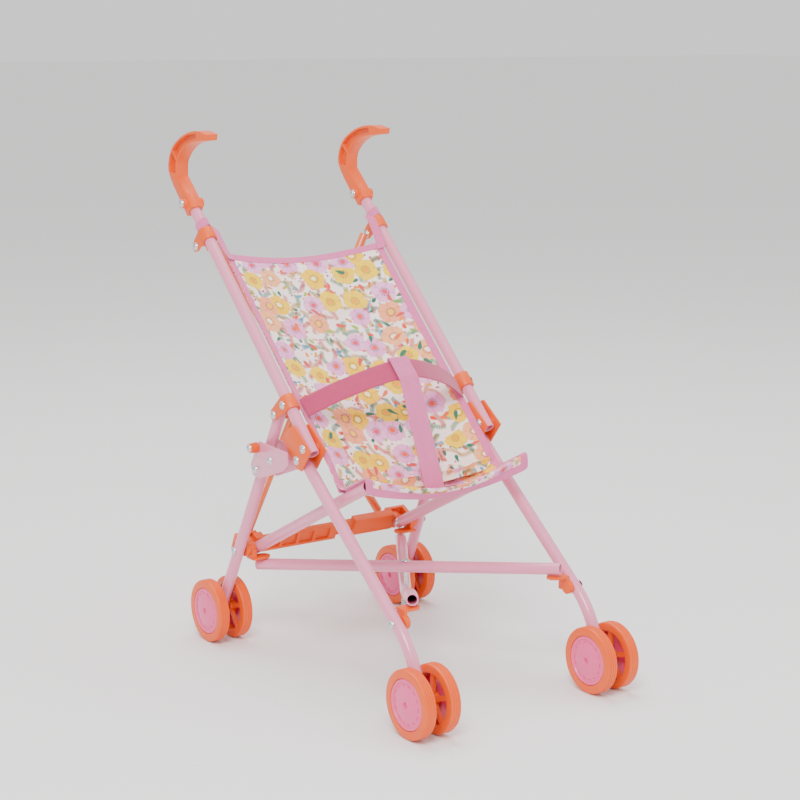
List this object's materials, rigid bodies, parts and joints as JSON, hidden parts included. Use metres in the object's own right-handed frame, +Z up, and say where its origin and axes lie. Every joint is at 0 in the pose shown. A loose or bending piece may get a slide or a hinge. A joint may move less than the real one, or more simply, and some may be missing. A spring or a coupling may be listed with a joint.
{
  "type": "doll stroller",
  "caption": "Folding doll stroller with steel tube frame, sling seat with harness, hooked handles and paired wheels.",
  "frame": {"origin": "on the floor, below the middle of the whole object's box", "axes": "+Z up, +X to the right of the stroller seen from the front, and -Y the way it faces"},
  "size_m": [0.2958, 0.5212, 0.566],
  "materials": {
    "frame_paint": "gloss pale pink enamel on steel tube",
    "orange_plastic": "injection moulded, satin gloss",
    "pink_plastic": "injection moulded, glossy",
    "coral_paint": "gloss coral enamel on steel tube",
    "steel": "bright zinc plated",
    "printed_cloth": "printed plain-weave polyester",
    "webbing": "woven pink twill tape"
  },
  "bodies": {
    "left_side": {"left_handle_grip": "orange_plastic", "left_handle_tube": "frame_paint", "left_leg_collar": "orange_plastic", "seat_cloth": "printed_cloth", "waist_strap": "webbing"},
    "right_side": {"right_handle_grip": "orange_plastic", "right_handle_tube": "frame_paint", "right_leg_collar": "orange_plastic"},
    "harness": {"crotch_strap": "webbing"},
    "left_front_leg": {"left_front_leg": "frame_paint", "left_seat_bracket": "orange_plastic"},
    "left_rear_leg": {"left_rear_leg": "frame_paint", "left_rear_joint": "orange_plastic"},
    "left_side_rail": {"left_side_rail": "frame_paint"},
    "left_lock_link": {"left_lock_link_inner": "frame_paint", "left_lock_link_outer": "frame_paint"},
    "left_rear_brace_bracket": {"left_rear_brace_bracket": "orange_plastic"},
    "left_front_brace_bracket": {"left_front_brace_bracket": "orange_plastic"},
    "left_lower_brace": {"left_lower_brace": "frame_paint"},
    "left_brace_mount": {"left_brace_mount": "orange_plastic"},
    "left_back_brace": {"left_back_brace": "coral_paint"},
    "left_crossbar": {"left_crossbar_half": "orange_plastic"},
    "front_left_wheels": {"front_left_axle": "steel", "front_left_inner_wheel": "orange_plastic", "front_left_outer_wheel": "orange_plastic", "front_left_inner_cap": "pink_plastic", "front_left_outer_cap": "pink_plastic"},
    "rear_left_wheels": {"rear_left_axle": "steel", "rear_left_inner_wheel": "orange_plastic", "rear_left_outer_wheel": "orange_plastic", "rear_left_inner_cap": "pink_plastic", "rear_left_outer_cap": "pink_plastic"},
    "right_front_leg": {"right_front_leg": "frame_paint", "right_seat_bracket": "orange_plastic"},
    "right_rear_leg": {"right_rear_leg": "frame_paint", "right_rear_joint": "orange_plastic"},
    "right_side_rail": {"right_side_rail": "frame_paint"},
    "right_lock_link": {"right_lock_link_inner": "frame_paint", "right_lock_link_outer": "frame_paint"},
    "right_rear_brace_bracket": {"right_rear_brace_bracket": "orange_plastic"},
    "right_front_brace_bracket": {"right_front_brace_bracket": "orange_plastic"},
    "right_lower_brace": {"right_lower_brace": "frame_paint"},
    "right_brace_mount": {"right_brace_mount": "orange_plastic"},
    "right_back_brace": {"right_back_brace": "coral_paint"},
    "right_crossbar": {"right_crossbar_half": "orange_plastic"},
    "front_right_wheels": {"front_right_axle": "steel", "front_right_inner_wheel": "orange_plastic", "front_right_outer_wheel": "orange_plastic", "front_right_inner_cap": "pink_plastic", "front_right_outer_cap": "pink_plastic"},
    "rear_right_wheels": {"rear_right_axle": "steel", "rear_right_inner_wheel": "orange_plastic", "rear_right_outer_wheel": "orange_plastic", "rear_right_inner_cap": "pink_plastic", "rear_right_outer_cap": "pink_plastic"}
  },
  "joints": [
    {"name": "side_closing", "type": "slide", "parent": "left_side", "child": "right_side", "axis": [-1, 0, 0], "range_m": [0, 0.13005]},
    {"name": "harness_shift", "type": "slide", "parent": "left_side", "child": "harness", "axis": [-1, 0, 0], "range_m": [0, 0.06505]},
    {"name": "left_front_leg_fold", "type": "hinge", "parent": "left_side", "child": "left_front_leg", "pos_m": [-0.114, -0.02415, 0.24954], "axis": [1, 0, 0], "range_deg": [-160, 0], "deforming": ["seat_cloth", "waist_strap", "crotch_strap"]},
    {"name": "left_rear_leg_fold", "type": "hinge", "parent": "left_side", "child": "left_rear_leg", "pos_m": [-0.114, 0.03543, 0.27541], "axis": [1, 0, 0], "range_deg": [-60.75, 0]},
    {"name": "left_side_rail_turn", "type": "hinge", "parent": "left_rear_leg", "child": "left_side_rail", "pos_m": [-0.097, 0.11468, 0.1095], "axis": [1, 0, 0], "range_deg": [-20.31, 0]},
    {"name": "left_lock_link_turn", "type": "hinge", "parent": "left_rear_leg", "child": "left_lock_link", "pos_m": [-0.1172, 0.06575, 0.21121], "axis": [1, 0, 0], "range_deg": [0, 170.01]},
    {"name": "left_rear_brace_bracket_turn", "type": "hinge", "parent": "left_rear_leg", "child": "left_rear_brace_bracket", "pos_m": [-0.107, 0.11468, 0.1095], "axis": [1, 0, 0], "range_deg": [-54.9, 0]},
    {"name": "left_front_brace_bracket_turn", "type": "hinge", "parent": "left_front_leg", "child": "left_front_brace_bracket", "pos_m": [-0.1045, -0.18039, 0.101], "axis": [1, 0, 0], "range_deg": [0, 45.41]},
    {"name": "left_lower_brace_turn", "type": "hinge", "parent": "left_rear_brace_bracket", "child": "left_lower_brace", "pos_m": [-0.0936, 0.11038, 0.09], "axis": [0, 0, 1], "range_deg": [-23.71, 0]},
    {"name": "left_brace_mount_slide", "type": "slide", "parent": "left_side", "child": "left_brace_mount", "axis": [0, -0.7214, -0.6925], "range_m": [0, 0.05602]},
    {"name": "left_back_brace_turn", "type": "hinge", "parent": "right_rear_leg", "child": "left_back_brace", "pos_m": [0.095, 0.15978, 0.113], "axis": [0.7815, 0.4858, 0.3916], "range_deg": [0, 38.54]},
    {"name": "left_crossbar_turn", "type": "hinge", "parent": "left_rear_leg", "child": "left_crossbar", "pos_m": [-0.099, 0.13218, 0.108], "axis": [0, 0.9042, 0.4271], "range_deg": [-78.52, 0]},
    {"name": "front_left_wheels_roll", "type": "hinge", "parent": "left_front_leg", "child": "front_left_wheels", "pos_m": [-0.114, -0.22562, 0.035], "axis": [1, 0, 0], "continuous": true},
    {"name": "rear_left_wheels_roll", "type": "hinge", "parent": "left_rear_leg", "child": "rear_left_wheels", "pos_m": [-0.126, 0.14898, 0.035], "axis": [1, 0, 0], "continuous": true},
    {"name": "right_front_leg_fold", "type": "hinge", "parent": "right_side", "child": "right_front_leg", "pos_m": [0.114, -0.02415, 0.24954], "axis": [1, 0, 0], "range_deg": [-160.01, 0]},
    {"name": "right_rear_leg_fold", "type": "hinge", "parent": "right_side", "child": "right_rear_leg", "pos_m": [0.114, 0.03543, 0.27541], "axis": [1, 0, 0], "range_deg": [-60.75, 0]},
    {"name": "right_side_rail_turn", "type": "hinge", "parent": "right_rear_leg", "child": "right_side_rail", "pos_m": [0.097, 0.11468, 0.1095], "axis": [1, 0, 0], "range_deg": [-20.31, 0]},
    {"name": "right_lock_link_turn", "type": "hinge", "parent": "right_rear_leg", "child": "right_lock_link", "pos_m": [0.1172, 0.06575, 0.21121], "axis": [1, 0, 0], "range_deg": [0, 170.01]},
    {"name": "right_rear_brace_bracket_turn", "type": "hinge", "parent": "right_rear_leg", "child": "right_rear_brace_bracket", "pos_m": [0.107, 0.11468, 0.1095], "axis": [1, 0, 0], "range_deg": [-54.9, 0]},
    {"name": "right_front_brace_bracket_turn", "type": "hinge", "parent": "right_front_leg", "child": "right_front_brace_bracket", "pos_m": [0.1045, -0.18039, 0.101], "axis": [1, 0, 0], "range_deg": [0, 45.41]},
    {"name": "right_lower_brace_turn", "type": "hinge", "parent": "right_rear_brace_bracket", "child": "right_lower_brace", "pos_m": [0.0936, 0.11038, 0.09], "axis": [0, 0, 1], "range_deg": [0, 23.71]},
    {"name": "right_brace_mount_slide", "type": "slide", "parent": "right_side", "child": "right_brace_mount", "axis": [0, -0.7214, -0.6925], "range_m": [0, 0.04197]},
    {"name": "right_back_brace_turn", "type": "hinge", "parent": "left_rear_leg", "child": "right_back_brace", "pos_m": [-0.095, 0.14618, 0.113], "axis": [0.7777, -0.4944, -0.3882], "range_deg": [0, 38.08]},
    {"name": "right_crossbar_turn", "type": "hinge", "parent": "right_rear_leg", "child": "right_crossbar", "pos_m": [0.099, 0.13218, 0.108], "axis": [0, 0.9042, 0.4271], "range_deg": [0, 65.67]},
    {"name": "front_right_wheels_roll", "type": "hinge", "parent": "right_front_leg", "child": "front_right_wheels", "pos_m": [0.114, -0.22562, 0.035], "axis": [1, 0, 0], "continuous": true},
    {"name": "rear_right_wheels_roll", "type": "hinge", "parent": "right_rear_leg", "child": "rear_right_wheels", "pos_m": [0.126, 0.14898, 0.035], "axis": [1, 0, 0], "continuous": true}
  ],
  "couplings": [
    {"joint": "side_closing", "follows": "left_front_leg_fold", "m_per_rad": -0.046553},
    {"joint": "harness_shift", "follows": "left_front_leg_fold", "m_per_rad": -0.023276},
    {"joint": "left_rear_leg_fold", "follows": "left_front_leg_fold", "ratio": 0.3796},
    {"joint": "left_side_rail_turn", "follows": "left_front_leg_fold", "ratio": 0.12688},
    {"joint": "left_lock_link_turn", "follows": "left_front_leg_fold", "ratio": -1.0625},
    {"joint": "left_rear_brace_bracket_turn", "follows": "left_front_leg_fold", "ratio": 0.34304},
    {"joint": "left_front_brace_bracket_turn", "follows": "left_front_leg_fold", "ratio": -0.28374},
    {"joint": "left_lower_brace_turn", "follows": "left_front_leg_fold", "ratio": 0.14811},
    {"joint": "left_brace_mount_slide", "follows": "left_front_leg_fold", "m_per_rad": -0.020044},
    {"joint": "left_back_brace_turn", "follows": "left_front_leg_fold", "ratio": -0.24081},
    {"joint": "left_crossbar_turn", "follows": "left_front_leg_fold", "ratio": 0.49069},
    {"joint": "right_front_leg_fold", "follows": "left_front_leg_fold", "ratio": 1},
    {"joint": "right_rear_leg_fold", "follows": "left_front_leg_fold", "ratio": 0.3796},
    {"joint": "right_side_rail_turn", "follows": "left_front_leg_fold", "ratio": 0.12688},
    {"joint": "right_lock_link_turn", "follows": "left_front_leg_fold", "ratio": -1.0625},
    {"joint": "right_rear_brace_bracket_turn", "follows": "left_front_leg_fold", "ratio": 0.34304},
    {"joint": "right_front_brace_bracket_turn", "follows": "left_front_leg_fold", "ratio": -0.28374},
    {"joint": "right_lower_brace_turn", "follows": "left_front_leg_fold", "ratio": -0.14811},
    {"joint": "right_brace_mount_slide", "follows": "left_front_leg_fold", "m_per_rad": -0.015013},
    {"joint": "right_back_brace_turn", "follows": "left_front_leg_fold", "ratio": -0.23797},
    {"joint": "right_crossbar_turn", "follows": "left_front_leg_fold", "ratio": -0.41035}
  ]
}
